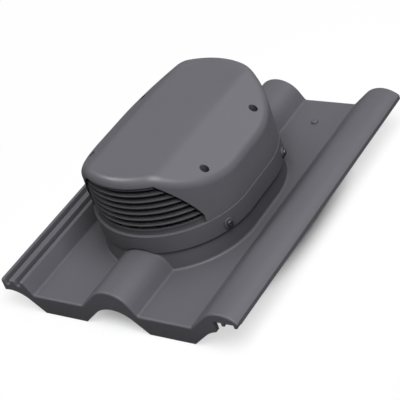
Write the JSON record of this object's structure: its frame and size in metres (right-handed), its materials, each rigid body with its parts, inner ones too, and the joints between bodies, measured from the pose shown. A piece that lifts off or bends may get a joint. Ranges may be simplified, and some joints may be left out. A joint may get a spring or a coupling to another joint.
{
  "type": "roof tile vent",
  "caption": "Interlocking roof tile with an oval upstand, a louvred collar and a shouldered cowl that lets air out of the roof.",
  "frame": {"origin": "middle of the tile, on the plane that its front lip and rear nibs rest on", "axes": "+X to the right across the slope, +Y up the slope, +Z away from the roof"},
  "size_m": [0.334, 0.42, 0.154],
  "materials": {
    "tile_plastic": "matt, fine grain",
    "cowl_plastic": "matt, fine grain",
    "screw_steel": "dark coated steel"
  },
  "bodies": {
    "root": {"tile_base": "tile_plastic", "louvre_collar": "cowl_plastic", "cowl": "cowl_plastic", "collar_screws": "screw_steel", "cowl_screws": "screw_steel"}
  },
  "joints": []
}
